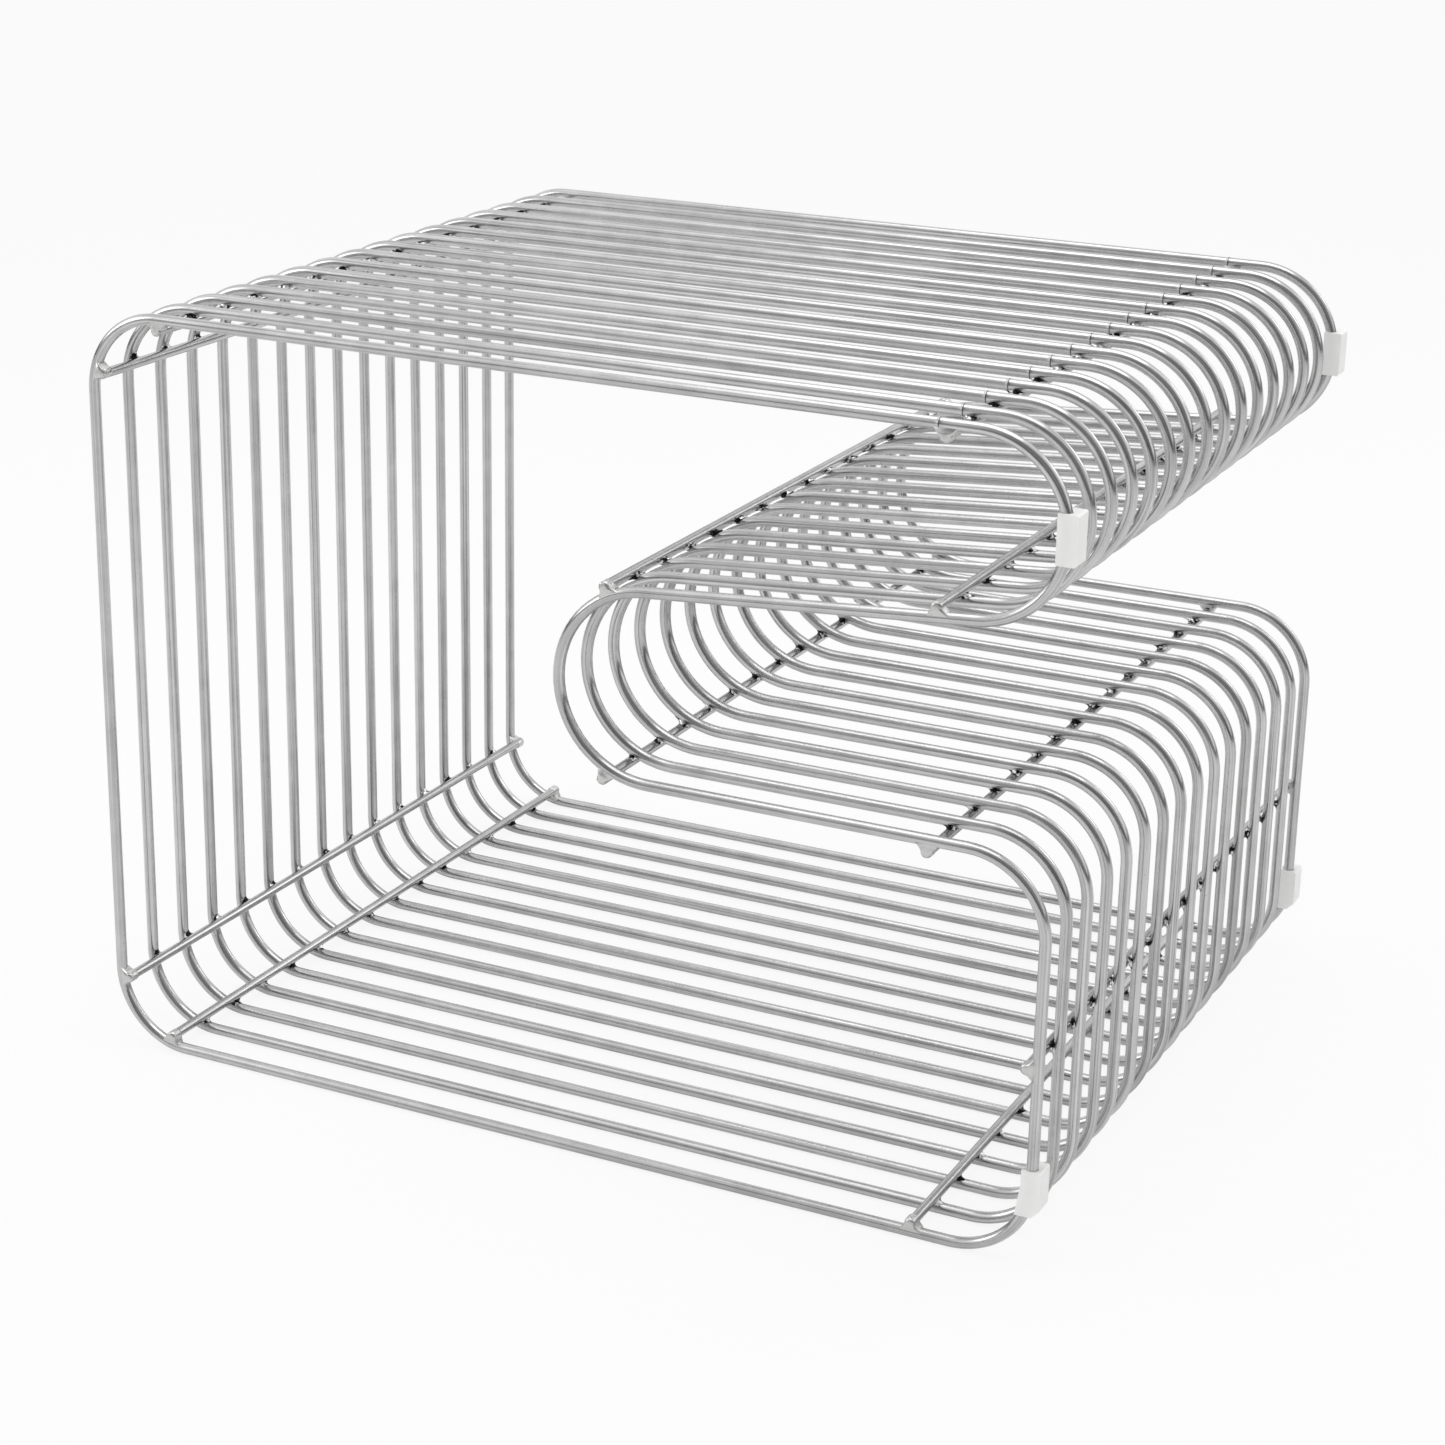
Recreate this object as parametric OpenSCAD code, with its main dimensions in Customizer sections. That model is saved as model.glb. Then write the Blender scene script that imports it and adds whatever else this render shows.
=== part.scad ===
// Wire side table. Closed loops of round bar, all bent to one profile, stand side by side and
// are welded onto straight cross rods. The profile climbs the left side, runs along the top,
// turns back on itself at the arm, slopes down to the nose, and comes out again as the lower
// shelf. That leaves a slot between slope and shelf, open to the right and to both ends.
// Small pads clip onto the two outer loops, where the table meets its neighbour. All four face
// the same way, so one moulding serves the front and the back.
// X is the width and the slot opens at +X, Y is the depth, Z is up. The bottom bars rest on
// Z = 0, and the origin is under the middle of the whole object's box.

/* [Frame] */
// Width, from the middle of the left uprights to the middle of the right uprights
frame_w = 725; // [650:1:900]
// Height, from the middle of the bottom bars to the middle of the top bars
frame_h = 554; // [510:1:700]
// Height of the lower shelf above the bottom bars, middle to middle
shelf_h = 281; // [230:1:310]
// Depth of the slot, from the right uprights to the far side of the nose, middle to middle
slot_depth = 352; // [290:1:430]

/* [Loops] */
// Number of loops
loop_count = 16; // [8:1:24]
// Distance from one loop to the next, middle to middle
loop_pitch = 39; // [32:0.5:50]
// Diameter of the bar that the loops are bent from
loop_d = 8; // [6:0.5:10]

/* [Bends] */
// Bend radius of the four square corners, to the middle of the bar
corner_r = 56; // [42:1:70]
// Bend radius of the arm, where the top turns back under itself
arm_r = 61; // [48:1:75]
// Bend radius of the nose, where the slope turns back as the lower shelf
nose_r = 67; // [50:1:80]

/* [Cross rods] */
// Diameter of the cross rods
rod_d = 7; // [5:0.5:9]
// How far a cross rod stands past the outside of the outer loops
rod_overhang = 1; // [0:0.5:4]
// Length of the small bevel on a cross rod's ends
rod_bevel = 0.6; // [0.2:0.1:1]
// Space left between rod and loop, which the weld fills
weld_gap = 0.05; // [0.02:0.01:0.2]
// Distance of a rod from the end of the bend beside it, at the right of each level stretch
rod_setback = 21; // [10:1:40]
// The same distance for the rod at the left of the top
top_left_setback = 2; // [0:1:30]
// Height of the rod on the right uprights above the bottom bars
end_rod_h = 138; // [100:1:160]
// How far round the top left corner its side rod sits, in degrees from the upright
upper_side_turn = 15; // [0:1:30]
// How far round the bottom left corner its side rod sits, in degrees from the upright
lower_side_turn = 8; // [0:1:30]
// How far round the bottom left corner its base rod sits, in degrees from the bottom bars
base_turn = 13; // [0:1:30]
// How far round the nose its upper rod sits, in degrees from the end of the slope
slope_turn = 21; // [5:1:45]
// How far round the nose its lower rod sits, in degrees from the end of the shelf
shelf_turn = 25; // [5:1:45]

/* [Pads] */
// Height of a pad
pad_h = 33; // [24:1:44]
// From the middle of the bar to a pad's flat outer face
pad_out = 7.5; // [6.5:0.5:12]
// From the middle of the bar to a pad's inner face
pad_in = 6; // [5.5:0.5:9]
// From the middle of the bar to a pad's front
pad_front = 5.5; // [5.5:0.5:9]
// From the middle of the bar to a pad's back
pad_back = 12; // [7:0.5:18]
// How far the lower pads reach up past the end of the corner bend
pad_rise = 11; // [4:1:20]
// Clearance round the bar in a pad's channel
pad_clearance = 0.1; // [0.05:0.05:0.3]
// Width of the mouth that the bar is pressed in through, as a share of the bar's diameter
pad_mouth = 0.8; // [0.7:0.05:0.9]
// Bevel on a pad's outer edges
pad_bevel = 1; // [0.5:0.1:2]
// Thickness of a lower pad beside the bar at its low end
pad_heel_wall = 1; // [0.5:0.1:2]

/* [Hidden] */
$fn = 48;
loop_r = loop_d / 2;
rod_r = rod_d / 2;
cut = 1;

// Bend middles, as [distance from the left uprights, height above the bottom bars]
top_left = [corner_r, frame_h - corner_r];
bottom_left = [corner_r, corner_r];
bottom_right = [frame_w - corner_r, corner_r];
shelf_end = [frame_w - corner_r, shelf_h - corner_r];
arm = [frame_w - arm_r, frame_h - arm_r];
nose = [frame_w - slot_depth + nose_r, shelf_h + nose_r];

// The slope is the straight line that touches the arm from below and the nose from above
slope_exact = atan2(arm[1] - nose[1], arm[0] - nose[0]) - asin((arm_r + nose_r) / norm(arm - nose));
slope_angle = round(slope_exact * 1000) / 1000;
along_slope = [cos(slope_angle), sin(slope_angle)];
slope_right = on_bend(arm, arm_r, slope_angle - 90);
slope_left = on_bend(nose, nose_r, slope_angle + 90);

// The slope stops this far short of each bend, and a hair-thin collar closes the bar across it
slope_stop = 0.1;
collar_l = 1;
collar_r = loop_r + 0.03;

// A cross rod's middle lies this far from the middle of the bar that it is welded to
seat = loop_r + rod_r + weld_gap;
right_rods_x = frame_w - max(arm_r, corner_r) - rod_setback;
slope_rod_h = slope_right[1] + (right_rods_x - slope_right[0]) * tan(slope_angle) + seat / cos(slope_angle);

// Each cross rod's name and place
RODS = [
    ["side_rod_upper", on_bend(top_left, corner_r - seat, 180 - upper_side_turn)],
    ["top_rod_left", [corner_r + top_left_setback, frame_h - seat]],
    ["top_rod_right", [right_rods_x, frame_h - seat]],
    ["slope_rod_right", [right_rods_x, slope_rod_h]],
    ["slope_rod_left", on_bend(nose, nose_r + seat, 90 + slope_angle + slope_turn)],
    ["shelf_rod_left", on_bend(nose, nose_r + seat, 270 - shelf_turn)],
    ["shelf_rod_right", [right_rods_x, shelf_h - seat]],
    ["end_rod", [frame_w - seat, end_rod_h]],
    ["base_rod_right", [right_rods_x, seat]],
    ["base_rod_left", on_bend(bottom_left, corner_r - seat, 270 - base_turn)],
    ["side_rod_lower", on_bend(bottom_left, corner_r - seat, 180 + lower_side_turn)],
];

frame_depth = (loop_count - 1) * loop_pitch;
end_reach = loop_r + rod_overhang;
rod_l = frame_depth + 2 * end_reach;
bottom_pad_z = corner_r + pad_rise - pad_h;
middle_x = (frame_w + pad_out - loop_r) / 2;
middle_y = (frame_depth + max(pad_back, end_reach) - max(pad_front, end_reach)) / 2;

function loop_name(i) = str("loop_", i < 10 ? "0" : "", i);
function on_bend(middle, r, angle) = middle + r * [cos(angle), sin(angle)];

// Puts a shape drawn in the loops' own plane, the first loop's, into the table's frame
module placed() {
    translate([-middle_x, -middle_y, loop_r]) children();
}

// Straight length of round bar between two points of the loops' plane
module straight(from, to, r) {
    run = to - from;
    translate([from[0], 0, from[1]])
        rotate([0, atan2(run[0], run[1]), 0])
            rotate([0, 0, -90])
                cylinder(h = norm(run), r = r);
}

// Bent length of round bar about a middle in the loops' plane, from one angle to a larger one
module bend(middle, bend_r, from, to, r) {
    translate([middle[0], 0, middle[1]])
        rotate([90, 0, 0])
            rotate_extrude(angle = to - from, start = from)
                translate([bend_r, 0])
                    rotate(90)
                        circle(r = r);
}

// One loop of bar, closed end to end
module loop_bar() {
    // Left side and top
    straight([0, corner_r], [0, top_left[1]], loop_r);
    bend(top_left, corner_r, 90, 180, loop_r);
    straight([corner_r, frame_h], [arm[0], frame_h], loop_r);
    // Arm, slope and nose
    bend(arm, arm_r, slope_angle - 90, 90, loop_r);
    straight(slope_left + slope_stop * along_slope, slope_right - slope_stop * along_slope, loop_r);
    for (joint = [slope_left, slope_right])
        straight(joint - collar_l / 2 * along_slope, joint + collar_l / 2 * along_slope, collar_r);
    bend(nose, nose_r, slope_angle + 90, 270, loop_r);
    // Lower shelf and right side
    straight([nose[0], shelf_h], [shelf_end[0], shelf_h], loop_r);
    bend(shelf_end, corner_r, 0, 90, loop_r);
    straight([frame_w, corner_r], [frame_w, shelf_end[1]], loop_r);
    // Bottom
    bend(bottom_right, corner_r, -90, 0, loop_r);
    straight([corner_r, 0], [bottom_right[0], 0], loop_r);
    bend(bottom_left, corner_r, 180, 270, loop_r);
}

module wire_loop(i) {
    color([0.74, 0.75, 0.76])
        placed()
            translate([0, (i - 1) * loop_pitch, 0])
                loop_bar();
}

// Straight rod across all the loops, with bevelled ends
module cross_rod(place) {
    outline = [
        [0, 0], [rod_r - rod_bevel, 0], [rod_r, rod_bevel],
        [rod_r, rod_l - rod_bevel], [rod_r - rod_bevel, rod_l], [0, rod_l],
    ];
    color([0.7, 0.71, 0.72])
        placed()
            translate([place[0], -end_reach, place[1]])
                rotate([-90, 0, 0])
                    rotate_extrude()
                        polygon(outline);
}

// Block of a pad, drawn as its side outline and given the pad's width along Y
module pad_block(outline) {
    translate([0, pad_back, 0])
        rotate([90, 0, 0])
            linear_extrude(height = pad_front + pad_back)
                polygon(outline);
}

// Mouth of a pad's channel, from the middle of the bar in through the pad's inner face
module pad_mouth_cut(reach) {
    translate([-reach, -pad_mouth * loop_r, -cut])
        cube([reach, pad_mouth * loop_d, pad_h + 2 * cut]);
}

// Pad round the middle of the arm, with its channel bent as the arm is
module upper_pad() {
    outline = [
        [-pad_in, 0], [pad_out - pad_bevel, 0], [pad_out, pad_bevel],
        [pad_out, pad_h - pad_bevel], [pad_out - pad_bevel, pad_h], [-pad_in, pad_h],
    ];
    half_turn = asin((pad_h / 2 + cut) / (arm_r - loop_r));
    difference() {
        pad_block(outline);
        bend([-arm_r, pad_h / 2], arm_r, -half_turn, half_turn, loop_r + pad_clearance);
        pad_mouth_cut(pad_in + cut);
    }
}

// Pad where the right upright runs into the bottom corner, with its channel bent to match
module lower_pad() {
    drop = pad_h - pad_rise;
    heel = corner_r - sqrt(corner_r * corner_r - drop * drop) + loop_r + pad_heel_wall;
    outline = [
        [-heel, 0], [pad_out - drop / 4, 0], [pad_out, drop / 4],
        [pad_out, pad_h - pad_bevel], [pad_out - pad_bevel, pad_h], [-pad_in, pad_h], [-pad_in, drop],
    ];
    turn = asin((drop + cut) / (corner_r - loop_r));
    difference() {
        pad_block(outline);
        straight([0, drop], [0, pad_h + cut], loop_r + pad_clearance);
        bend([-corner_r, drop], corner_r, -turn, 0, loop_r + pad_clearance);
        pad_mouth_cut(heel + cut);
    }
}

// Puts a pad at a height on the right side: side 0 is the front loop, side 1 the back loop
module on_outer_loop(height, side) {
    color([0.93, 0.93, 0.92])
        placed()
            translate([frame_w, side * frame_depth, height])
                children();
}

module upper_pads(side) {
    on_outer_loop(arm[1] - pad_h / 2, side) upper_pad();
}

module lower_pads(side) {
    on_outer_loop(bottom_pad_z, side) lower_pad();
}

for (i = [1:loop_count]) wire_loop(i);
for (rod = RODS) cross_rod(rod[1]);
upper_pads(0);  // upper_pad_front
upper_pads(1);  // upper_pad_back
lower_pads(0);  // lower_pad_front
lower_pads(1);  // lower_pad_back
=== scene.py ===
# %% [markdown]
# # A wire side table, drawn in cells
# The table is sixteen closed loops of satin stainless bar, all bent to one folded profile,
# welded across eleven straight rods. Four milky plastic pads clip onto the outer loops.
# Nothing on it moves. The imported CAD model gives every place. This file gives it the finish:
# smooth bar with a drawn grain, weld metal at each crossing, and soft plastic.

import math

import bpy
import numpy as np
from mathutils import Matrix, Vector


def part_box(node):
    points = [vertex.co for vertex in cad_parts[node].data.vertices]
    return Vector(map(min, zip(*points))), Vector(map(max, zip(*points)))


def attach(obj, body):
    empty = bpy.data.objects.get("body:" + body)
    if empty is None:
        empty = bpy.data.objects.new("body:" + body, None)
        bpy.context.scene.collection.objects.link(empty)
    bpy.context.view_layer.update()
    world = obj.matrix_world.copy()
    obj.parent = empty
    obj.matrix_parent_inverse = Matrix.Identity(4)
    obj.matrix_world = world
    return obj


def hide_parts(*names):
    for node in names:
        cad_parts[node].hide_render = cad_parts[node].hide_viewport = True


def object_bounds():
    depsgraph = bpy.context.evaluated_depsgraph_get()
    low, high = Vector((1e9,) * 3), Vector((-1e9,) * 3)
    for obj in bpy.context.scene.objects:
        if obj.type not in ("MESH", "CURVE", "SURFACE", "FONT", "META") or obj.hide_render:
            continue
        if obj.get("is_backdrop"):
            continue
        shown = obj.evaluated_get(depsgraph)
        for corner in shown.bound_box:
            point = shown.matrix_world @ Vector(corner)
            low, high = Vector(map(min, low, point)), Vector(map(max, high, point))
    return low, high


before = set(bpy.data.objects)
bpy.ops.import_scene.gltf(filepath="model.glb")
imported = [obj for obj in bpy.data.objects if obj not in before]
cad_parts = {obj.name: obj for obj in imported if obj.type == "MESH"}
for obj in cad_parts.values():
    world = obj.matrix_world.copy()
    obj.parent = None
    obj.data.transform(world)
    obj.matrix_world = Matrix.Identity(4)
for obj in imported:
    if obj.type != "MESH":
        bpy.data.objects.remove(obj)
cad_low, cad_high = (list(corner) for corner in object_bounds())
print("nodes:", len(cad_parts))
print("box, m:", np.round(cad_low, 4), np.round(cad_high, 4))

# %% [markdown]
# ## The table's sizes
# The loops' outline is a handful of bends joined by straight bar, so their radii and three
# heights say it all. The outer limits are read back from the first loop's own box, which keeps
# the drawing tied to the model. Lengths are in metres, as everything in Blender is.

# %% Sizes of the bar and of its bends
BAR_R = 0.004
ROD_R = 0.0035
CORNER_R = 0.056
ARM_R = 0.061
NOSE_R = 0.067
SHELF_H = 0.281
SLOT_DEPTH = 0.352
TINY = 1e-12

loop_names = sorted(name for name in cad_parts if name.startswith("loop_"))
first_low, first_high = (np.array(corner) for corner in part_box(loop_names[0]))
LEFT_X = first_low[0] + BAR_R
BASE_Z = first_low[2] + BAR_R
FRAME_W = first_high[0] - first_low[0] - 2 * BAR_R
FRAME_H = first_high[2] - first_low[2] - 2 * BAR_R
print(f"{len(loop_names)} loops, {FRAME_W:.4f} m wide and {FRAME_H:.4f} m high between bar middles")


def middle_y(name):
    """The middle of a node's box along the table's depth."""
    low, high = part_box(name)
    return (low[1] + high[1]) / 2


# %% [markdown]
# ## The outline of one loop
# A bender feeds straight bar and turns it round a former, over and over, until the two ends
# meet. The outline here is made the same way: arcs about their middles, in the order that the
# bar passes them, with straight bar between. It starts and ends at the butt weld, which sits on
# the top run just before the arm, so the pattern along the bar has its join there too.

# %% The arcs, and the slope that touches two of them


def outline_arcs():
    """Each bend as (middle x, middle z, radius, first angle, last angle), in degrees.
    The slope touches the arm from below and the nose from above. Its rise is the direction
    from middle to middle, less the angle whose sine is the two radii over their distance."""
    right, top = LEFT_X + FRAME_W, BASE_Z + FRAME_H
    shelf = BASE_Z + SHELF_H
    arm = np.array([right - ARM_R, top - ARM_R])
    nose = np.array([right - SLOT_DEPTH + NOSE_R, shelf + NOSE_R])
    apart = arm - nose
    rise = math.degrees(
        math.atan2(apart[1], apart[0]) - math.asin((ARM_R + NOSE_R) / np.hypot(*apart))
    )
    print(f"the slope rises {rise:.2f} degrees")
    return [
        (arm[0], arm[1], ARM_R, 90, rise - 90),
        (nose[0], nose[1], NOSE_R, rise + 90, 270),
        (right - CORNER_R, shelf - CORNER_R, CORNER_R, 90, 0),
        (right - CORNER_R, BASE_Z + CORNER_R, CORNER_R, 0, -90),
        (LEFT_X + CORNER_R, BASE_Z + CORNER_R, CORNER_R, 270, 180),
        (LEFT_X + CORNER_R, top - CORNER_R, CORNER_R, 180, 90),
    ]


ARCS = outline_arcs()
DEGREES_A_STEP = 5.0
WELD_BEFORE_ARM = 0.0255
SEAM_OFFSETS = np.array([0.0, 0.0002, 0.0004, 0.0007, 0.0012, 0.0018, 0.003])


def outline():
    """Points (x, z) and bar directions (dx, dz) round one loop, from the butt weld and back to
    it. On an arc the point is the middle plus radius times (cos, sin) of the angle, and the
    direction is a quarter turn on from there, the way the bar runs."""
    points, ways = [], []
    weld_x = ARCS[0][0] - WELD_BEFORE_ARM
    top = BASE_Z + FRAME_H
    points.append(np.stack([weld_x + SEAM_OFFSETS, np.full(len(SEAM_OFFSETS), top)], 1))
    ways.append(np.tile([1.0, 0.0], (len(SEAM_OFFSETS), 1)))
    for x, z, r, start, stop in ARCS:
        steps = max(2, int(round(abs(stop - start) / DEGREES_A_STEP)))
        angle = np.radians(np.linspace(start, stop, steps + 1))
        way = np.sign(stop - start)
        points.append(np.stack([x + r * np.cos(angle), z + r * np.sin(angle)], 1))
        ways.append(np.stack([-way * np.sin(angle), way * np.cos(angle)], 1))
    points.append(np.stack([weld_x - SEAM_OFFSETS[::-1], np.full(len(SEAM_OFFSETS), top)], 1))
    ways.append(np.tile([1.0, 0.0], (len(SEAM_OFFSETS), 1)))
    return np.concatenate(points), np.concatenate(ways)


path, ways = outline()


def running_length(points):
    """Distance along the bar from the first point to each point."""
    return np.concatenate([[0], np.cumsum(np.hypot(*np.diff(points, axis=0).T))])


along = running_length(path)
print(f"{len(path)} stations, {along[-1]:.3f} m of bar in a loop")

# %% [markdown]
# ## Where the rods cross
# A rod's box gives the middle of the rod, and the nearest place on the outline is where it is
# welded on. The stations crowd together there, so that the heat tint and painted corner shade have
# points to live on.

# %% Crossings, and extra stations round them
rod_names = sorted(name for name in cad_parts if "_rod" in name)
CROWD = np.array([-11, -8, -6, -4.5, -3, -1.5, 0, 1.5, 3, 4.5, 6, 8, 11]) * 0.001
LEAST_GAP = 0.0006
CLEAR_OF_SEAM = 0.004


def foot_on_outline(name):
    """The length along the bar, and the place (x, z), nearest to a rod's middle."""
    low, high = (np.array(corner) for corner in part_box(name))
    rod = ((low + high) / 2)[[0, 2]]
    start, step = path[:-1], np.diff(path, axis=0)
    share = ((rod - start) * step).sum(1) / np.maximum((step**2).sum(1), TINY)
    share = np.clip(share, 0, 1)
    feet = start + share[:, None] * step
    best = np.hypot(*(feet - rod).T).argmin()
    length = along[best] + share[best] * (along[best + 1] - along[best])
    return length, feet[best], rod


crossings = {name: foot_on_outline(name) for name in rod_names}
lengths = np.array([crossings[name][0] for name in rod_names])


def crowded(path, ways, along):
    """Adds stations near every crossing. A new point lies on the chord between its neighbours,
    moved out to the arc by chord times (1 - t) t times half the turn, with t its share."""
    extra = (lengths[:, None] + CROWD).ravel()
    gap = np.abs(extra[:, None] - along[None, :]).min(1)
    inside = (extra > CLEAR_OF_SEAM) & (extra < along[-1] - CLEAR_OF_SEAM)
    extra = extra[(gap > LEAST_GAP) & inside]
    before = np.searchsorted(along, extra) - 1
    share = ((extra - along[before]) / (along[before + 1] - along[before]))[:, None]
    a, b = path[before], path[before + 1]
    way_a, way_b = ways[before], ways[before + 1]
    way = way_a * (1 - share) + way_b * share
    way = way / np.hypot(*way.T)[:, None]
    turn = (way_a[:, 0] * way_b[:, 1] - way_a[:, 1] * way_b[:, 0])[:, None]
    chord = np.hypot(*(b - a).T)[:, None]
    bow = chord * share * (1 - share) * turn / 2
    side = np.stack([way[:, 1], -way[:, 0]], 1)
    points = a + (b - a) * share + side * bow
    order = np.argsort(np.concatenate([along, extra]), kind="stable")
    return np.concatenate([path, points])[order], np.concatenate([ways, way])[order]


path, ways = crowded(path, ways, along)
along = running_length(path)
print(f"{len(path)} stations with the crossings crowded")

# %% [markdown]
# ## Round bar as a two-parameter surface
# A bar could be a curve with a bevel, or a cylinder bent by a modifier. Here it is a grid of
# numbers: one direction counts stations along the bar, the other counts round it. That gives
# exact control of the rings at the butt weld and a map of true lengths for the drawn grain.

# %% A grid of points made into a mesh
SIDES = 20


def mesh_from_grid(name, grid, along_m, round_m, heat, shut=False):
    """A mesh from a grid of points [station, side, xyz] that closes on itself round the sides.
    shut joins the last station to the first; otherwise each end is one flat face. The UV map
    holds metres: u along the bar and v round it. The last argument is 1 at a weld and fades away
    from it: heat tint and painted shade in the corner where the bars meet."""
    stations, sides = grid.shape[:2]
    first = np.arange(stations - (0 if shut else 1))
    i, j = np.meshgrid(first, np.arange(sides), indexing="ij")
    i2, j2 = (i + 1) % stations, (j + 1) % sides
    quads = np.stack([i * sides + j, i * sides + j2, i2 * sides + j2, i2 * sides + j], -1)
    u = np.stack([along_m[i], along_m[i], along_m[i + 1], along_m[i + 1]], -1)
    v = np.stack([round_m[j], round_m[j + 1], round_m[j + 1], round_m[j]], -1)
    faces = quads.reshape(-1, 4).tolist()
    uv = np.stack([u, v], -1).reshape(-1, 2)
    if not shut:
        faces.append(np.arange(sides)[::-1].tolist())
        faces.append((np.arange(sides) + (stations - 1) * sides).tolist())
        for station, turn in ((0, -1), (stations - 1, 1)):
            ring = np.stack([np.full(sides, along_m[station]), round_m[:-1]], -1)
            uv = np.concatenate([uv, ring[::turn]])
    mesh = bpy.data.meshes.new(name)
    mesh.from_pydata(grid.reshape(-1, 3).tolist(), [], faces)
    layer = mesh.uv_layers.new(name="bar")
    layer.data.foreach_set("uv", uv.astype(np.float32).ravel())
    heat_and_shade_marks = mesh.attributes.new("heat", "FLOAT", "POINT")
    heat_and_shade_marks.data.foreach_set("value", heat.astype(np.float32).ravel())
    mesh.polygons.foreach_set("use_smooth", np.ones(len(faces), bool))
    mesh.update()
    return mesh


def add_piece(name, mesh, material, slot, *nodes):
    """Puts a finished mesh in the scene, riding on the one body, in place of CAD nodes."""
    piece = bpy.data.objects.new(name, mesh)
    bpy.context.scene.collection.objects.link(piece)
    piece.data.materials.append(material)
    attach(piece, "root")
    if nodes:
        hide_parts(*nodes)


# %% [markdown]
# ## Writing shader maths as Python
# A finish is a sum of small effects: grain, cloudiness, specks. In the node editor each plus
# sign is a box and two wires. A small class lets the same sum be written as one line, and the
# operators add the boxes.

# %% The class that wraps a socket


class Sock:
    """A node's output. Operators on it add Math nodes, and mix handles colours."""

    def __init__(self, tree, socket):
        self.tree, self.socket = tree, socket

    def node(self, kind, settings=None, **sockets):
        """Adds a node of any type. Settings are set first, then sockets, by their own name or
        as n and their number."""
        made = self.tree.nodes.new(kind)
        for key, value in (settings or {}).items():
            setattr(made, key, value)
        for key, value in sockets.items():
            into = made.inputs[int(key[1:]) if key[:1] == "n" and key[1:].isdigit() else key]
            if isinstance(value, Sock):
                self.tree.links.new(value.socket, into)
            else:
                into.default_value = value
        return made

    def out(self, kind, output, settings=None, **sockets):
        """As node, but gives back one of its outputs, wrapped."""
        return Sock(self.tree, self.node(kind, settings, **sockets).outputs[output])

    def maths(self, operation, a, b=0.0):
        return self.out("ShaderNodeMath", 0, {"operation": operation}, n0=a, n1=b)

    def __add__(self, other):
        return self.maths("ADD", self, other)

    def __sub__(self, other):
        return self.maths("SUBTRACT", self, other)

    def __rsub__(self, other):
        return self.maths("SUBTRACT", other, self)

    def __mul__(self, other):
        return self.maths("MULTIPLY", self, other)

    __radd__, __rmul__ = __add__, __mul__

    def above(self, low, high):
        """0 below low, 1 above high, and smooth between."""
        return self.out(
            "ShaderNodeMapRange",
            0,
            {"interpolation_type": "SMOOTHSTEP"},
            Value=self,
            n1=low,
            n2=high,
            n3=0.0,
            n4=1.0,
        )

    def mix(self, a, b):
        """Colour a where this is 0 and colour b where it is 1."""
        return self.out(
            "ShaderNodeMix", 2, {"data_type": "RGBA"}, n0=self, n6=a, n7=b
        )

    def noise(self, stretch, scale, detail, roughness):
        """Noise on this vector, multiplied by the three factors of stretch first."""
        drawn = self.out("ShaderNodeMapping", 0, None, Vector=self, Scale=stretch)
        return self.out(
            "ShaderNodeTexNoise",
            0,
            None,
            Vector=drawn,
            Scale=scale,
            Detail=detail,
            Roughness=roughness,
        )


def new_material(name):
    """An empty material, with its tree of nodes and its Principled shader."""
    material = bpy.data.materials.new(name)
    material.use_nodes = True
    tree = material.node_tree
    shader = next(n for n in tree.nodes if n.type == "BSDF_PRINCIPLED")
    return material, tree, shader


def object_place(tree):
    """Where a point is in the table's own frame, in metres."""
    return Sock(tree, tree.nodes.new("ShaderNodeTexCoord").outputs["Object"])


def feed(tree, shader, **inputs):
    """Links wrapped sockets into the shader's varying inputs, or sets plain values."""
    for name, value in inputs.items():
        into = shader.inputs[name.replace("_", " ")]
        if isinstance(value, Sock):
            tree.links.new(value.socket, into)
        else:
            into.default_value = value


# %% [markdown]
# ## Satin drawn stainless
# Drawn bar is ground lengthwise, so its scratches run along it: long thin lines, much longer
# than they are wide. The UV map is in metres, so the noise is squeezed round the bar and pulled
# out along it. The lines move the roughness and the tone a little and tip the surface through a
# faint bump. A broad, slow noise adds the cloudiness of hand polishing, and small darker specks
# stand for handling marks. Round each weld the bar is painted near-black, partly heat tint and
# partly painted shade in the corner where the bars meet, with a ragged edge that a finer noise
# gives. The rods get the same finish a shade darker.

# %% The steel, for loops and rods
LOOP_TONE, ROD_TONE = 0.56, 0.50
EVEN = (1.0, 1.0, 1.0)
GRAIN_STRETCH, LINE_STRETCH = (12.0, 3000.0, 1.0), (1.3, 520.0, 1.0)
CLOUD_SCALE, SPECK_SCALE, BLOTCH_SCALE = 45.0, 800.0, 260.0
GRAIN_IN_TONE, LINES_IN_TONE, CLOUD_IN_TONE = 0.6, 1.2, 0.35
# The near-black tone round each crossing is heat tint together with painted shade in the corner
# where the bars meet.
DARK_LINE, LIGHT_LINE, SPECK_TONE, SCORCH_AND_SHADE_TONE = 0.58, 1.35, 0.4, 0.03
SPECK_STRENGTH, SCORCH_AND_SHADE_STRENGTH = 0.4, 0.97
RAGGED = 0.9
SCORCH_AND_SHADE_EDGE = (0.34, 0.54)
SATIN_ROUGH = 0.18
GRAIN_IN_ROUGH, CLOUD_IN_ROUGH, SCORCH_IN_ROUGH, SEAM_IN_ROUGH = 0.14, 0.10, 0.15, 0.3
SEAM_EDGE, BLUSH_EDGE = (0.00035, 0.0009), (0.001, 0.006)
SEAM_STRENGTH, BLUSH_STRENGTH = 0.92, 0.3
SEAM_COLOUR = (0.02, 0.02, 0.02, 1.0)
BLUSH_TONE, BLUSH_WARMTH = 0.75, 0.94


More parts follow.
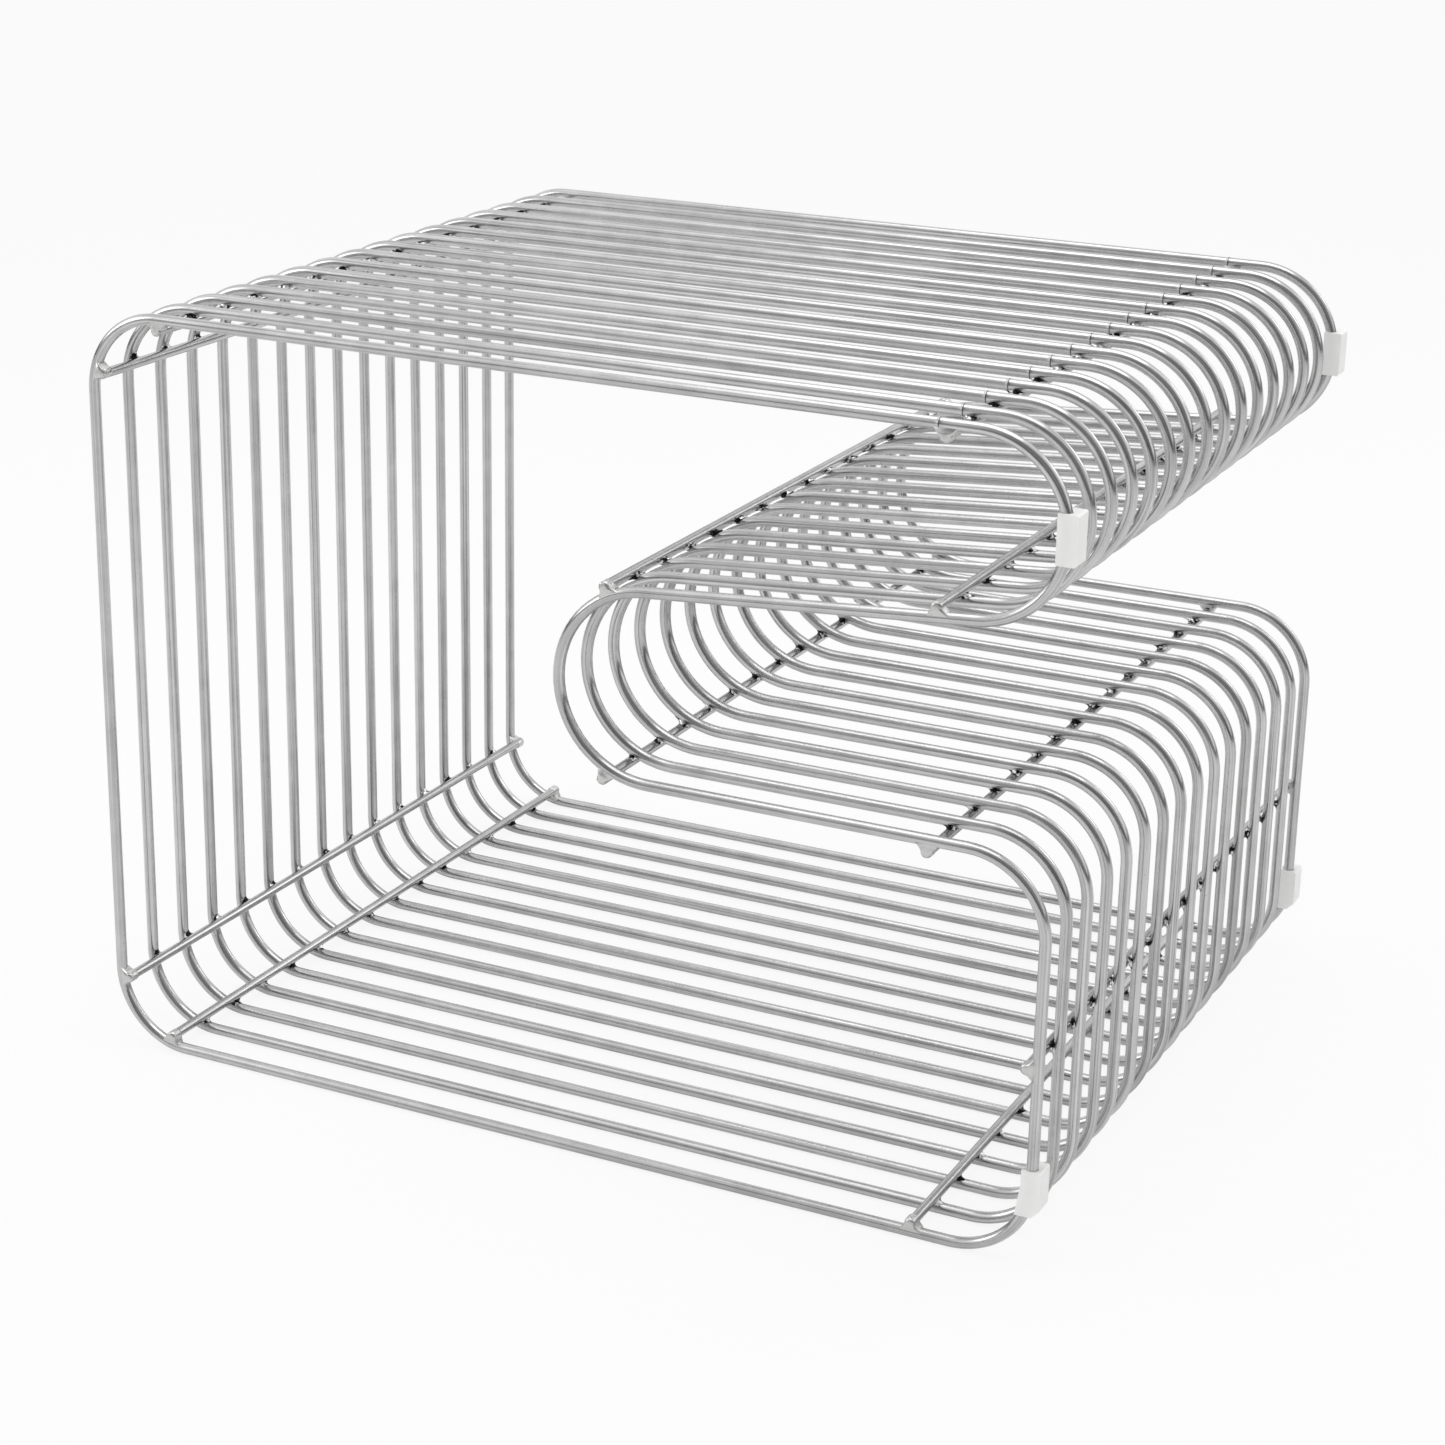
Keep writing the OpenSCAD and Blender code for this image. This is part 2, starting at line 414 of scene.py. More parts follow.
def satin_steel(name, tone, weld_seam=False):
    """Metal with a lengthwise grain. tone is the plain colour's level, 0 to 1. With weld_seam
    the start of the bar gets the butt weld's dark line and a warm blush beside it."""

    def grey(share, warm=1.0):
        return (tone * share, tone * share * (warm + 1) / 2, tone * share * warm, 1.0)

    material, tree, shader = new_material(name)
    here = Sock(tree, tree.nodes.new("ShaderNodeUVMap").outputs[0])
    place = object_place(tree)
    heat_and_shade_marks = tree.nodes.new("ShaderNodeAttribute")
    heat_and_shade_marks.attribute_name = "heat"
    heat = Sock(tree, heat_and_shade_marks.outputs["Fac"])
    grain = here.noise(GRAIN_STRETCH, 1.0, 3.0, 0.62)
    lines = here.noise(LINE_STRETCH, 1.0, 2.0, 0.5)
    cloud = place.noise(EVEN, CLOUD_SCALE, 3.0, 0.55)
    specks = place.noise(EVEN, SPECK_SCALE, 1.0, 0.5).above(0.66, 0.76)
    blotch = place.noise(EVEN, BLOTCH_SCALE, 2.0, 0.6)
    uneven = (grain - 0.5) * GRAIN_IN_TONE + (lines - 0.5) * LINES_IN_TONE
    shade = uneven + (cloud - 0.5) * CLOUD_IN_TONE + 0.5
    colour = shade.above(0.0, 1.0).mix(grey(DARK_LINE), grey(LIGHT_LINE))
    colour = (specks * SPECK_STRENGTH).mix(colour, grey(SPECK_TONE))
    # Heat tint and painted shade: near-black round each crossing, on the sides of the bars that
    # face each other.
    scorch_and_shade = (heat + (blotch - 0.5) * RAGGED).above(*SCORCH_AND_SHADE_EDGE)
    colour = (scorch_and_shade * SCORCH_AND_SHADE_STRENGTH).mix(colour, grey(SCORCH_AND_SHADE_TONE))
    rough = (grain - 0.5) * GRAIN_IN_ROUGH + (cloud - 0.5) * CLOUD_IN_ROUGH
    rough = rough + scorch_and_shade * SCORCH_IN_ROUGH + SATIN_ROUGH
    if weld_seam:
        from_seam = here.out("ShaderNodeSeparateXYZ", 0, None, Vector=here)
        seam = 1.0 - from_seam.above(*SEAM_EDGE)
        blush = (1.0 - from_seam.above(*BLUSH_EDGE)) * BLUSH_STRENGTH
        colour = blush.mix(colour, grey(BLUSH_TONE, BLUSH_WARMTH))
        colour = (seam * SEAM_STRENGTH).mix(colour, SEAM_COLOUR)
        rough = rough + seam * SEAM_IN_ROUGH
    bump = place.out(
        "ShaderNodeBump", 0, None, Strength=0.25, Distance=0.00012, Height=grain + lines * 0.5
    )
    feed(tree, shader, Base_Color=colour, Roughness=rough, Normal=bump, Metallic=1.0)
    return material


loop_steel = satin_steel("loop_steel", LOOP_TONE, weld_seam=True)
rod_steel = satin_steel("rod_steel", ROD_TONE)

# %% [markdown]
# ## The sixteen loops
# Every loop is the same bent bar, a pitch apart. The ring at each station stands square to the
# bar: one of its axes is the depth direction, and the other lies in the loop's plane, square to
# the way the bar runs. At the butt weld the ends were squeezed together hot, so the ring swells
# there by a fraction of a millimetre, except on top, where it is ground flush.

# %% Carry the ring round the outline
SEAM_SWELL = 0.00022
SEAM_REACH = 0.0011
LOOP_GRAIN_STEP, ROD_GRAIN_STEP = 0.37, 0.53


def tube(points, ways, radius):
    """Rings of a tube in the XZ plane, with one radius a station and y measured from the tube's
    middle. A ring's point is the station plus radius times (cos a * normal + sin a * depth),
    with normal a quarter turn left of way."""
    turn = 2 * np.pi * np.arange(SIDES) / SIDES
    normal = np.stack([-ways[:, 1], ways[:, 0]], 1)
    out = radius[:, None] * np.cos(turn)
    deep = radius[:, None] * np.sin(turn)
    x = points[:, :1] + normal[:, :1] * out
    z = points[:, 1:] + normal[:, 1:] * out
    return np.stack([x, deep, z], -1)


from_weld = np.minimum(along, along[-1] - along)
swollen = BAR_R + SEAM_SWELL * np.exp(-((from_weld / SEAM_REACH) ** 2))
loop_grid = tube(path, ways, swollen)[:-1]
loop_grid[..., 2] = np.minimum(loop_grid[..., 2], first_high[2])
round_m = np.arange(SIDES + 1) * 2 * np.pi * BAR_R / SIDES

# %% [markdown]
# Round each bead's foot, which is an ellipse, the bar darkens: welding left heat tint there, and
# painted shade is added on the sides that face the other bar, where the corner is. No two marks are
# the same, so each crossing draws its own size and its own slip along both bars. The welder
# grinds the ends that show, so the marks on the two outer loops are smaller.

# %% Heat tint and painted corner shade at the crossings
LONG, SHORT = 0.0076, 0.0032  # half a bead's foot, along the bar and across it
HALO = 0.32
FACING = 0.0016
MARK_SPREAD = 1.15
FARTHEST_SLIP = 0.0024
LEAST_MARK, MOST_MARK = 0.9, 1.35
OUTER_MARK = 0.6
mark_draws = np.random.default_rng(5)
crossing_count = (len(rod_names), len(loop_names))
MARK_SHIFT = mark_draws.uniform(-FARTHEST_SLIP, FARTHEST_SLIP, (*crossing_count, 2))
MARK_SIZE = mark_draws.uniform(LEAST_MARK, MOST_MARK, crossing_count)
MARK_SIZE[:, [0, -1]] *= OUTER_MARK


def heat_and_shade_round(longways, across, away, size):
    """1 under a bead and fading round its foot: heat tint, and painted shade in the corner where
    the bars meet. With rho the ellipse distance sqrt((longways / long)^2 + (across / (short *
    spread))^2) over the mark's size, it is exp of minus ((rho - 1) / halo)^2, times a fade on the
    side of the bar that faces away, which keeps the painted shade in the corner."""
    rho = np.hypot(longways / LONG, across / (SHORT * MARK_SPREAD)) / size
    near = np.exp(-((np.maximum(rho - 1, 0) / HALO) ** 2))
    return near * np.exp(-((np.maximum(away - FACING, 0) / FACING) ** 2))


def contact_frame(name):
    """For one rod: the contact point, the direction from loop to rod, and along the loop."""
    _, foot, rod = crossings[name]
    axis = (rod - foot) / np.hypot(*(rod - foot))
    return foot + axis * BAR_R, axis, np.array([axis[1], -axis[0]])


def heat_and_shade_on_loop(number):
    """The strongest heat tint and painted corner shade of the eleven crossings at each point of one
    loop.
    """
    heat_and_shade_marks = []
    for row, name in enumerate(rod_names):
        contact, axis, run = contact_frame(name)
        offset = loop_grid[..., [0, 2]] - contact
        longways = offset @ run - MARK_SHIFT[row, number, 0]
        size = MARK_SIZE[row, number]
        heat_and_shade_marks.append(heat_and_shade_round(longways, loop_grid[..., 1], -(offset @ axis), size))
    return np.max(heat_and_shade_marks, axis=0)


# %% Place the loops
for number, name in enumerate(loop_names):
    placed = loop_grid + [0.0, middle_y(name), 0.0]
    shifted = round_m + number * LOOP_GRAIN_STEP
    # The heat tint and painted corner shade of this loop's crossings, stored on its points.
    heat_and_shade_marks = heat_and_shade_on_loop(number)
    mesh = mesh_from_grid(name + "_bar", placed, along, shifted, heat_and_shade_marks, shut=True)
    add_piece(name + "_bar", mesh, loop_steel, "loop_bar", name)
print(f"{len(loop_names)} loops of {len(mesh.polygons)} faces")

# %% [markdown]
# ## The eleven cross rods
# The rods are sawn to length, and the saw's edge is broken with a file. Each one is a profile
# turned about its own axis. It is flat across the end, rounded over the edge, then straight for
# the whole depth of the table.

# %% Turn each rod about its axis
loop_ys = np.array([middle_y(name) for name in loop_names])
EDGE = 0.0012
EDGE_STEPS = 5


def rod_grid(low, high):
    """Rings along Y. Over the edge the radius is r - e (1 - sin t) at y = e (1 - cos t) from the
    end, for t from 0 to a quarter turn, and the far end is the same in reverse."""
    t = np.linspace(0, np.pi / 2, EDGE_STEPS)
    radius = ROD_R - EDGE * (1 - np.sin(t))
    inset = EDGE * (1 - np.cos(t))
    near = (loop_ys[:, None] + CROWD).ravel()
    near = near[(near > low[1] + 2 * EDGE) & (near < high[1] - 2 * EDGE)]
    y = np.concatenate([low[1] + inset, near, (high[1] - inset)[::-1]])
    radius = np.concatenate([radius, np.full(len(near), ROD_R), radius[::-1]])
    turn = 2 * np.pi * np.arange(SIDES) / SIDES
    x = (low[0] + high[0]) / 2 + radius[:, None] * np.cos(turn)
    z = (low[2] + high[2]) / 2 - radius[:, None] * np.sin(turn)
    return np.stack([x, np.broadcast_to(y[:, None], x.shape), z], -1), y - y[0]


for number, name in enumerate(rod_names):
    low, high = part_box(name)
    grid, along_rod = rod_grid(low, high)
    # Heat tint and painted shade in the corner where each loop meets this rod.
    contact, axis, run = contact_frame(name)
    offset = grid[..., [0, 2]] - contact
    nearest = np.abs(grid[..., 1, None] - loop_ys).argmin(-1)
    from_loop = grid[..., 1] - loop_ys[nearest] - MARK_SHIFT[number, nearest, 1]
    size = MARK_SIZE[number, nearest]
    heat = heat_and_shade_round(from_loop, offset @ run, offset @ axis, size)
    shifted = round_m * ROD_R / BAR_R + number * ROD_GRAIN_STEP
    mesh = mesh_from_grid(name + "_bar", grid, along_rod, shifted, heat)
    add_piece(name + "_bar", mesh, rod_steel, "cross_rod", name)
print(f"{len(rod_names)} rods of {len(mesh.polygons)} faces")

# %% [markdown]
# ## Weld metal at each crossing
# Each loop is welded to each rod where they touch, and the metal that runs in sets as a small
# saddle in the corner between them. Its foot on the loop is long along the loop, and its foot on
# the rod is long along the rod, so the bead twists a quarter turn from one to the other, with a
# hollow side between. There are 176, so each has only a few dozen faces, and a seeded draw makes
# each one a little different and a little lopsided.

# %% One bead, from a foot on the loop to a foot on the rod
BEAD_SIDES = 12
BEAD_LEVELS = 4
HOLLOW = 0.28
SUNK = 0.0003
END_ROOM = 0.0044
TWO_LOBES, FIVE_LOBES = 0.13, 0.09
LEAST_SWELL, MOST_SWELL = 0.85, 1.2
WHOLE_TURN = 6.28
LEAN_SHARE = -0.5
draws = np.random.default_rng(16)


def bead_points(name, y, swell):
    """Rings from the loop's skin (h = 0) to the rod's (h = 1), with a pole inside each bar. A
    foot is an ellipse laid on a bar: reach a = long or short times cos t along the loop, b the
    same times sin t along the rod, and height r - sqrt(r^2 - b^2) down the loop's side or
    r - sqrt(r^2 - a^2) up the rod's. Between the feet the ring is their blend, drawn in
    towards the contact by the factor 1 - hollow * 4 h (1 - h). swell holds the two feet's
    sizes, the phase of the lobes and the two feet's leans lengthways."""
    contact, axis, run = contact_frame(name)
    t = 2 * np.pi * np.arange(BEAD_SIDES) / BEAD_SIDES
    h = np.linspace(0, 1, BEAD_LEVELS)[:, None]
    lobes = TWO_LOBES * np.sin(2 * t + swell[2]) + FIVE_LOBES * np.sin(5 * t + 2 * swell[2])
    uneven = 1 + lobes
    a0, b0 = LONG * swell[0] * uneven * np.cos(t) + swell[3], SHORT * np.sin(t)
    a1, b1 = SHORT * np.cos(t), LONG * swell[1] * uneven * np.sin(t) + swell[4]
    low = -(BAR_R - np.sqrt(BAR_R**2 - b0**2)) - SUNK
    high = ROD_R - np.sqrt(ROD_R**2 - a1**2) + SUNK
    waist = 1 - HOLLOW * 4 * h * (1 - h)
    a, b = ((1 - h) * a0 + h * a1) * waist, ((1 - h) * b0 + h * b1) * waist
    height = (1 - h) * low + h * high
    flat = contact + axis * height[..., None] + run * a[..., None]
    deep = np.clip(y + b, loop_ys[0] - END_ROOM, loop_ys[-1] + END_ROOM)
    rings = np.stack([flat[..., 0], deep, flat[..., 1]], -1).reshape(-1, 3)
    poles = contact + axis * np.array([[-0.5 * BAR_R], [0.5 * ROD_R]])
    poles = np.stack([poles[:, 0], [y, y], poles[:, 1]], 1)
    return np.concatenate([rings, poles])


def ring_faces(levels, sides):
    """Quads between rings, and a fan of triangles from the last ring to each pole."""
    i, j = np.meshgrid(np.arange(levels - 1), np.arange(sides), indexing="ij")
    k = (j + 1) % sides
    quads = np.stack([i * sides + j, i * sides + k, (i + 1) * sides + k, (i + 1) * sides + j], -1)
    side = np.arange(sides)
    turned = (side + 1) % sides
    last = (levels - 1) * sides
    bottom = np.stack([turned, side, np.full(sides, levels * sides)], -1)
    top = np.stack([last + side, last + turned, np.full(sides, levels * sides + 1)], -1)
    return [quads.reshape(-1, 4), bottom, top]


def mesh_of_lumps(name, lumps, levels, sides):
    """One mesh of separate closed lumps, each given as rings with two poles after them."""
    faces = []
    for number, points in enumerate(lumps):
        for part in ring_faces(levels, sides):
            faces += (part + number * len(points)).tolist()
    mesh = bpy.data.meshes.new(name)
    mesh.from_pydata(np.concatenate(lumps).tolist(), [], faces)
    mesh.polygons.foreach_set("use_smooth", np.ones(len(faces), bool))
    mesh.update()
    return mesh


def beads_on_rod(name):
    """The rod's sixteen beads, one for each loop."""
    row, lumps = rod_names.index(name), []
    for number, y in enumerate(loop_ys):
        sizes = draws.uniform(LEAST_SWELL, MOST_SWELL, 2)
        phase = draws.uniform(0, WHOLE_TURN)
        lean = LEAN_SHARE * MARK_SHIFT[row, number]
        lumps.append(bead_points(name, y, np.concatenate([sizes, [phase], lean])))
    return mesh_of_lumps(name + "_welds", lumps, BEAD_LEVELS, BEAD_SIDES)


# %% [markdown]
# The beads aren't ground. They are bright where the metal ran clean and almost black where soot
# stayed on, in patches a few millimetres across, with small darker pits. The webs at the rods'
# ends are ground, so they keep far less soot and are a little duller.

# %% The weld metal's finish
SOOT_SCALE, PIT_SCALE = 210.0, 1500.0
SOOT_COLOUR, PIT_COLOUR = (0.012, 0.012, 0.012, 1.0), (0.05, 0.05, 0.05, 1.0)
PIT_EDGE, PIT_STRENGTH, PIT_IN_ROUGH = (0.6, 0.75), 0.5, 0.3


def weld_metal(name, dark_from, dark_to, bright, rough_at):
    """Metal in bright and sooty patches, with small pits. A patch is dark where a slow noise is
    under dark_from, and bright above dark_to."""
    material, tree, shader = new_material(name)
    place = object_place(tree)
    mottle = place.noise(EVEN, SOOT_SCALE, 2.0, 0.55)
    pits = place.noise(EVEN, PIT_SCALE, 2.0, 0.6)
    lit = mottle.above(dark_from, dark_to)
    colour = lit.mix(SOOT_COLOUR, (bright, bright, bright * 0.99, 1.0))
    colour = (pits.above(*PIT_EDGE) * PIT_STRENGTH).mix(colour, PIT_COLOUR)
    bump = place.out(
        "ShaderNodeBump", 0, None, Strength=0.4, Distance=0.0004, Height=pits * 0.5 + mottle
    )
    rough = (pits - 0.5) * PIT_IN_ROUGH + rough_at
    feed(tree, shader, Base_Color=colour, Roughness=rough, Normal=bump, Metallic=1.0)
    return material


weld_finish = weld_metal("weld_metal", 0.48, 0.57, 0.80, 0.26)
for name in rod_names:
    mesh = beads_on_rod(name)
    add_piece(name + "_welds", mesh, weld_finish, "cross_rod")
print(f"{len(rod_names) * len(loop_ys)} beads of {len(mesh.polygons) // len(loop_ys)} faces")

# %% [markdown]
# ## The ground webs at the rods' two ends
# The ends of the rods show, so the welder fills the corner there until the rod's end and the
# outer loop are one, then grinds the face flat. What is left is a web, broad where it lies on
# the loop and narrowing to a round nose about the rod. It also hides the rod's sawn end.

# %% One web, as a stack of outlines
WEB_SIDE_POINTS = 14
WEB_LEVELS = 8
WEB_CORNER = 5
WEB_NOSE = 0.0040
WEB_ROOT = 0.0006
WEB_CORE = 0.6
WEB_WRAP = 82
FACE_AT_LOOP, FACE_AT_ROD = 0.0039, 0.0052
PAST_LOOP = 0.001


def web_outline(half_root, power, skew):
    """Half-width against height, up one side and down the other. From the root to the rod's
    middle it is nose + (half_root - nose)(1 - share)^power, and above that it rounds off as
    nose * sqrt(1 - share^2). The top leans sideways by skew."""
    middle = BAR_R + ROD_R
    step = np.arange(WEB_SIDE_POINTS) + 0.5
    level = (1 - np.cos(np.pi * step / WEB_SIDE_POINTS)) / 2
    height = WEB_ROOT + (middle + WEB_NOSE - WEB_ROOT) * level
    below = np.clip((height - WEB_ROOT) / (middle - WEB_ROOT), 0, 1)
    above = np.clip((height - middle) / WEB_NOSE, 0, 1)
    half = WEB_NOSE + (half_root - WEB_NOSE) * (1 - below) ** power
    half = np.where(height > middle, WEB_NOSE * np.sqrt(1 - above**2), half)
    lean = skew * below
    across = np.concatenate([lean + half, (lean - half)[::-1]])
    return across, np.concatenate([height, height[::-1]])


def web_points(name, y, outward, shape):
    """Outlines stacked through the bar's depth. On a rounded square of power n, the depth share
    is |sin|^(2/n) and the outline's scale |cos|^(2/n). The outline runs the other way round at
    the back, so that the faces point out at both ends. They stand level with the loop at the
    root and step out smoothly to just past the rod's end."""
    contact, axis, run = contact_frame(name)
    across, height = (side[:: -int(outward)] for side in web_outline(*shape))
    core = BAR_R + ROD_R * WEB_CORE
    angle = np.radians(np.linspace(-WEB_WRAP, WEB_WRAP, WEB_LEVELS))
    depth = np.sign(np.sin(angle)) * np.abs(np.sin(angle)) ** (2 / WEB_CORNER)
    scale = np.abs(np.cos(angle)) ** (2 / WEB_CORNER)
    a = across * scale[:, None]
    q = core + (height - core) * scale[:, None]
    rise = np.clip((q - WEB_ROOT) / (BAR_R + PAST_LOOP - WEB_ROOT), 0, 1)
    face = FACE_AT_LOOP + (FACE_AT_ROD - FACE_AT_LOOP) * rise * rise * (3 - 2 * rise)
    flat = contact + axis * (q - BAR_R)[..., None] + run * a[..., None]
    deep = y + outward * depth[:, None] * face
    rings = np.stack([flat[..., 0], deep, flat[..., 1]], -1).reshape(-1, 3)
    pole = contact + axis * (core - BAR_R)
    ends = [[pole[0], y + outward * side * FACE_AT_ROD, pole[1]] for side in (-1, 1)]
    return np.concatenate([rings, ends])


# %% Webs for both ends of every rod
LEAST_WEB = (0.0080, 1.0, -0.0008)  # half the root's width, power of the flank, skew
MOST_WEB = (0.0110, 1.7, 0.0008)
web_draws = np.random.default_rng(29)
ground_weld = weld_metal("ground_weld", 0.22, 0.34, 0.64, 0.30)
for name in rod_names:
    lumps = []
    for y, outward in ((loop_ys[0], -1), (loop_ys[-1], 1)):
        shape = web_draws.uniform(LEAST_WEB, MOST_WEB)
        lumps.append(web_points(name, y, outward, shape))
    mesh = mesh_of_lumps(name + "_end_webs", lumps, WEB_LEVELS, 2 * WEB_SIDE_POINTS)
    add_piece(name + "_end_webs", mesh, ground_weld, "cross_rod")
print(f"{2 * len(rod_names)} webs of {len(mesh.polygons) // 2} faces")

# %% [markdown]
# ## Milky plastic pads
# The pads are moulded in a soft, natural-coloured plastic that lets some light in. The packed
# shape is already right, bevels and channel included, so it stays and takes a better finish: a
# pale body with light scattered just under its skin, faintly cloudy, with a fine moulded grain.

# %% The pads' finish
PLASTIC_CLOUD_SCALE, PLASTIC_SKIN_SCALE = 120.0, 2400.0
PLASTIC_DULL, PLASTIC_CLEAR = (0.90, 0.90, 0.89, 1.0), (0.95, 0.95, 0.94, 1.0)
PLASTIC_ROUGH, CLOUD_IN_PLASTIC_ROUGH = 0.42, 0.2


def milky_plastic(name):
    """Pale plastic that glows a little from inside."""
    material, tree, shader = new_material(name)
    place = object_place(tree)
    cloud = place.noise(EVEN, PLASTIC_CLOUD_SCALE, 3.0, 0.5)
    skin = place.noise(EVEN, PLASTIC_SKIN_SCALE, 2.0, 0.5)
    colour = cloud.mix(PLASTIC_DULL, PLASTIC_CLEAR)
    bump = place.out("ShaderNodeBump", 0, None, Strength=0.12, Distance=0.0002, Height=skin)
    feed(
        tree,
        shader,
        Base_Color=colour,
        Roughness=(cloud - 0.5) * CLOUD_IN_PLASTIC_ROUGH + PLASTIC_ROUGH,
        Normal=bump,
        Subsurface_Weight=0.2,
        Subsurface_Scale=0.004,
        Subsurface_Radius=(1.0, 1.0, 0.95),
    )
    return material


pad_plastic = milky_plastic("pad_plastic")
pad_names = sorted(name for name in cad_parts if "pad" in name)
for name in pad_names:
    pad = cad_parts[name]
    pad.data.materials.clear()
    pad.data.materials.append(pad_plastic)
print("pads:", pad_names)

# %% [markdown]
# ## Floor, light and camera
# The table stands on a pale floor that runs out of sight into a pale world. Both show as white
# to the eye, but give the object only a plain, even light. Three soft lamps shape the bars: a
# broad one above, one from the left and a weaker one from behind.

# %% The floor and the parts that the world shares with it
FLOOR_HALF = 12.0
FLOOR_TONE_SCALE = 3.0
FLOOR_DARK, FLOOR_PALE = (0.86, 0.86, 0.86, 1), (0.90, 0.90, 0.90, 1)
FLOOR_ROUGH = 0.9
FLOOR_WHITE, FLOOR_IN_GLOSS = 0.86, 0.25
WHITE = (1.0, 1.0, 1.0, 1.0)


def ray_kind(tree, name):
    """1 for rays of one kind, else 0."""
    return Sock(tree, tree.nodes.new("ShaderNodeLightPath").outputs[name])


def blend_shaders(tree, share, first, second):
    """Shader first where share is 0 and shader second where it is 1."""
    both = tree.nodes.new("ShaderNodeMixShader")
    tree.links.new(share.socket, both.inputs[0])
    tree.links.new(first.outputs[0], both.inputs[1])
    tree.links.new(second.outputs[0], both.inputs[2])
    return both


def glow(tree, kind, colour=WHITE):
    """A plain glow of strength 1, which is white as it is seen."""
    made = tree.nodes.new(kind)
    if isinstance(colour, Sock):
        tree.links.new(colour.socket, made.inputs["Color"])
    else:
        made.inputs["Color"].default_value = colour
    made.inputs["Strength"].default_value = 1.0
    return made


def seen_directly(tree):
    """1 for what the camera sees, also through clear materials."""
    eye = ray_kind(tree, "Is Camera Ray")
    return eye.maths("MAXIMUM", eye, ray_kind(tree, "Is Transmission Ray"))


def floor_sheet():
    """A flat square at the height of the table's lowest point, facing up."""
    mesh = bpy.data.meshes.new("floor")
    z = cad_low[2]
    s = FLOOR_HALF
    mesh.from_pydata([(-s, -s, z), (s, -s, z), (s, s, z), (-s, s, z)], [], [(0, 1, 2, 3)])
    mesh.update()
    sheet = bpy.data.objects.new("floor", mesh)
    bpy.context.scene.collection.objects.link(sheet)
    sheet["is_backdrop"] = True
    return sheet


floor = floor_sheet()
floor_finish, floor_tree, floor_shader = new_material("floor_finish")
floor_tone = object_place(floor_tree).noise(EVEN, FLOOR_TONE_SCALE, 2.0, 0.5)
floor_colour = floor_tone.mix(FLOOR_DARK, FLOOR_PALE)
feed(floor_tree, floor_shader, Base_Color=floor_colour, Roughness=FLOOR_ROUGH)
floor.data.materials.append(floor_finish)
floor_out = next(n for n in floor_tree.nodes if n.type == "OUTPUT_MATERIAL")
white_share = seen_directly(floor_tree) * FLOOR_WHITE + (
    ray_kind(floor_tree, "Is Glossy Ray") * FLOOR_IN_GLOSS
)
floor_glow = glow(floor_tree, "ShaderNodeEmission")
floor_both = blend_shaders(floor_tree, white_share, floor_shader, floor_glow)
floor_tree.links.new(floor_both.outputs[0], floor_out.inputs[0])

# %% [markdown]
# Polished bar is a mirror, so what it shows is the room. A flat white room makes flat bars. In
# a real studio the wall behind the camera is dark and the skirting line is darker than the
# walls. The room here has both, only for gloss, so the bars get a darker middle and crisp lines
# while the light on everything else stays plain.

# %% The world
SKY_STRENGTH = 0.75
DARK_WALL = (0.46, -0.86, 0.22)
WALL_EDGE = (0.35, 0.85)
WALL_COLOUR = (0.26, 0.26, 0.26, 1.0)
SKIRTING_EDGE = (0.03, 0.16)
SKIRTING_STRENGTH, SKIRTING_COLOUR = 0.92, (0.02, 0.02, 0.02, 1.0)

world = bpy.data.worlds.new("studio")
bpy.context.scene.world = world
world.use_nodes = True
sky_tree = world.node_tree
sky = next(n for n in sky_tree.nodes if n.type == "BACKGROUND")
sky.inputs["Color"].default_value = WHITE
sky.inputs["Strength"].default_value = SKY_STRENGTH
toward = Sock(sky_tree, sky_tree.nodes.new("ShaderNodeTexCoord").outputs["Generated"])
wall = toward.out(
    "ShaderNodeVectorMath", "Value", {"operation": "DOT_PRODUCT"}, n0=toward, n1=DARK_WALL
).above(*WALL_EDGE)
rise = toward.out("ShaderNodeSeparateXYZ", 2, None, Vector=toward)
skirting = 1.0 - rise.maths("ABSOLUTE", rise).above(*SKIRTING_EDGE)
room = wall.mix(WHITE, WALL_COLOUR)
room = (skirting * SKIRTING_STRENGTH).mix(room, SKIRTING_COLOUR)
room_glow = glow(sky_tree, "ShaderNodeBackground", room)
white_glow = glow(sky_tree, "ShaderNodeBackground")
